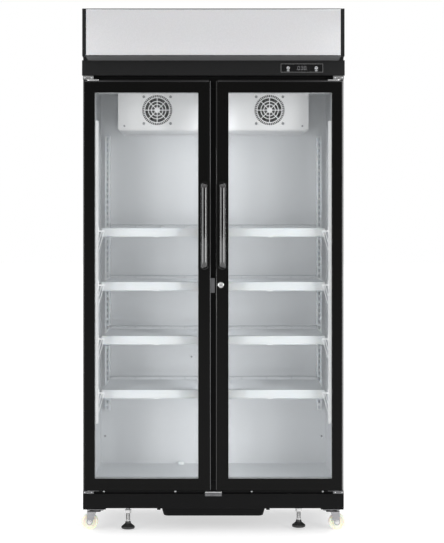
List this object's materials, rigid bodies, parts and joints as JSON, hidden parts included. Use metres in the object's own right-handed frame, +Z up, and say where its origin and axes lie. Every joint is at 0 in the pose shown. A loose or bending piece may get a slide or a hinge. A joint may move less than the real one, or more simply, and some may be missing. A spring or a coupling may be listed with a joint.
{
  "type": "glass door merchandiser",
  "caption": "Tall glass-door drinks merchandiser with hinged doors, wire shelves, lit canopy sign, top-mounted cooling unit and casters.",
  "frame": {"origin": "on the floor, below the middle of the bounding box", "axes": "+Z up, the doors face -Y, +X to the right of a person facing the doors"},
  "size_m": [1.0176, 0.7, 1.9874],
  "materials": {
    "cabinet_black": "satin",
    "liner_white": "satin",
    "cover_white": "satin",
    "zinc_steel": "satin",
    "bright_steel": "polished",
    "frame_black": "satin",
    "canopy_black": "satin",
    "handle_black": "gloss",
    "display_black": "gloss",
    "key_grey": "satin",
    "seal_black": "matte",
    "foot_black": "matte",
    "fan_black": "matte",
    "unit_glass": "gloss",
    "sign_white": "satin",
    "lamp_white": "satin",
    "caster_nylon": "satin",
    "fin_aluminium": "satin"
  },
  "bodies": {
    "cabinet": {"outer_shell": "cabinet_black", "mullion": "cabinet_black", "plinth": "cabinet_black", "base_frame": "cabinet_black", "rear_grille": "cabinet_black", "compressor": "cabinet_black", "fascia": "cabinet_black", "liner": "liner_white", "evaporator_cover": "cover_white", "fan_guard_left": "cover_white", "fan_guard_right": "cover_white", "pilaster_front_left": "zinc_steel", "pilaster_front_right": "zinc_steel", "pilaster_rear_left": "zinc_steel", "pilaster_rear_right": "zinc_steel", "shelf_left_1": "zinc_steel", "shelf_left_2": "zinc_steel", "shelf_left_3": "zinc_steel", "shelf_left_4": "zinc_steel", "shelf_right_1": "zinc_steel", "shelf_right_2": "zinc_steel", "shelf_right_3": "zinc_steel", "shelf_right_4": "zinc_steel", "hinge_top_left": "bright_steel", "hinge_top_right": "bright_steel", "hinge_bottom_left": "bright_steel", "hinge_bottom_right": "bright_steel", "canopy_housing": "canopy_black", "display": "display_black", "sign_panel": "sign_white", "sign_tube": "lamp_white", "mullion_light": "lamp_white", "condenser": "fin_aluminium", "evaporator_coil": "fin_aluminium"},
    "door_left": {"door_left_frame": "frame_black", "door_left_glass": "unit_glass", "door_left_gasket": "seal_black", "door_left_handle": "handle_black", "lock_strike": "zinc_steel"},
    "door_right": {"door_right_frame": "frame_black", "door_right_glass": "unit_glass", "door_right_gasket": "seal_black", "door_right_handle": "handle_black"},
    "lock": {"lock_plug": "bright_steel"},
    "pan": {"drain_pan": "cabinet_black"},
    "fan_left": {"fan_rotor_left": "fan_black"},
    "fan_right": {"fan_rotor_right": "fan_black"},
    "unit_fan": {"condenser_fan": "fan_black"},
    "key_1": {"button_1": "key_grey"},
    "key_2": {"button_2": "key_grey"},
    "foot_l": {"foot_left": "foot_black"},
    "foot_r": {"foot_right": "foot_black"},
    "caster_front_left_swivel": {"caster_front_left_fork": "bright_steel"},
    "caster_front_left_wheel": {"caster_front_left_wheel": "caster_nylon"},
    "caster_front_right_swivel": {"caster_front_right_fork": "bright_steel"},
    "caster_front_right_wheel": {"caster_front_right_wheel": "caster_nylon"},
    "caster_rear_left_swivel": {"caster_rear_left_fork": "bright_steel"},
    "caster_rear_left_wheel": {"caster_rear_left_wheel": "caster_nylon"},
    "caster_rear_right_swivel": {"caster_rear_right_fork": "bright_steel"},
    "caster_rear_right_wheel": {"caster_rear_right_wheel": "caster_nylon"}
  },
  "joints": [
    {"name": "door_left_hinge", "type": "hinge", "parent": "cabinet", "child": "door_left", "pos_m": [-0.4809, -0.23, 0.9476], "axis": [0, 0, -1], "range_deg": [0, 115]},
    {"name": "door_right_hinge", "type": "hinge", "parent": "cabinet", "child": "door_right", "pos_m": [0.4809, -0.23, 0.9476], "axis": [0, 0, 1], "range_deg": [0, 115]},
    {"name": "lock_turn", "type": "hinge", "parent": "door_right", "child": "lock", "pos_m": [0.0284, -0.229, 0.949], "axis": [0, 1, 0], "range_deg": [0, 90]},
    {"name": "pan_slide", "type": "slide", "parent": "cabinet", "child": "pan", "axis": [0, -1, 0], "range_m": [0, 0.28]},
    {"name": "fan_left_spin", "type": "hinge", "parent": "cabinet", "child": "fan_left", "pos_m": [-0.221, -0.026, 1.629], "axis": [0, -1, 0], "continuous": true},
    {"name": "fan_right_spin", "type": "hinge", "parent": "cabinet", "child": "fan_right", "pos_m": [0.221, -0.026, 1.629], "axis": [0, -1, 0], "continuous": true},
    {"name": "condenser_fan_spin", "type": "hinge", "parent": "cabinet", "child": "unit_fan", "pos_m": [0.25, 0.07, 1.8543], "axis": [1, 0, 0], "continuous": true},
    {"name": "button_1_press", "type": "slide", "parent": "cabinet", "child": "key_1", "axis": [0, 1, 0], "range_m": [0, 0.0012], "stiffness_N_per_m": 800},
    {"name": "button_2_press", "type": "slide", "parent": "cabinet", "child": "key_2", "axis": [0, 1, 0], "range_m": [0, 0.0012], "stiffness_N_per_m": 800},
    {"name": "foot_left_height", "type": "slide", "parent": "cabinet", "child": "foot_l", "axis": [0, 0, 1], "range_m": [-0.003, 0.015]},
    {"name": "foot_right_height", "type": "slide", "parent": "cabinet", "child": "foot_r", "axis": [0, 0, 1], "range_m": [-0.009, 0.009]},
    {"name": "caster_front_left_swivel_turn", "type": "hinge", "parent": "cabinet", "child": "caster_front_left_swivel", "pos_m": [-0.454, -0.155, 0.078], "axis": [0, 0, 1], "continuous": true},
    {"name": "caster_front_left_roll", "type": "hinge", "parent": "caster_front_left_swivel", "child": "caster_front_left_wheel", "pos_m": [-0.477, -0.155, 0.03175], "axis": [0, 1, 0], "continuous": true},
    {"name": "caster_front_right_swivel_turn", "type": "hinge", "parent": "cabinet", "child": "caster_front_right_swivel", "pos_m": [0.454, -0.155, 0.078], "axis": [0, 0, 1], "continuous": true},
    {"name": "caster_front_right_roll", "type": "hinge", "parent": "caster_front_right_swivel", "child": "caster_front_right_wheel", "pos_m": [0.477, -0.155, 0.03175], "axis": [0, 1, 0], "continuous": true},
    {"name": "caster_rear_left_swivel_turn", "type": "hinge", "parent": "cabinet", "child": "caster_rear_left_swivel", "pos_m": [-0.454, 0.29, 0.078], "axis": [0, 0, 1], "continuous": true},
    {"name": "caster_rear_left_roll", "type": "hinge", "parent": "caster_rear_left_swivel", "child": "caster_rear_left_wheel", "pos_m": [-0.454, 0.313, 0.03175], "axis": [1, 0, 0], "continuous": true},
    {"name": "caster_rear_right_swivel_turn", "type": "hinge", "parent": "cabinet", "child": "caster_rear_right_swivel", "pos_m": [0.454, 0.29, 0.078], "axis": [0, 0, 1], "continuous": true},
    {"name": "caster_rear_right_roll", "type": "hinge", "parent": "caster_rear_right_swivel", "child": "caster_rear_right_wheel", "pos_m": [0.454, 0.313, 0.03175], "axis": [1, 0, 0], "continuous": true}
  ]
}
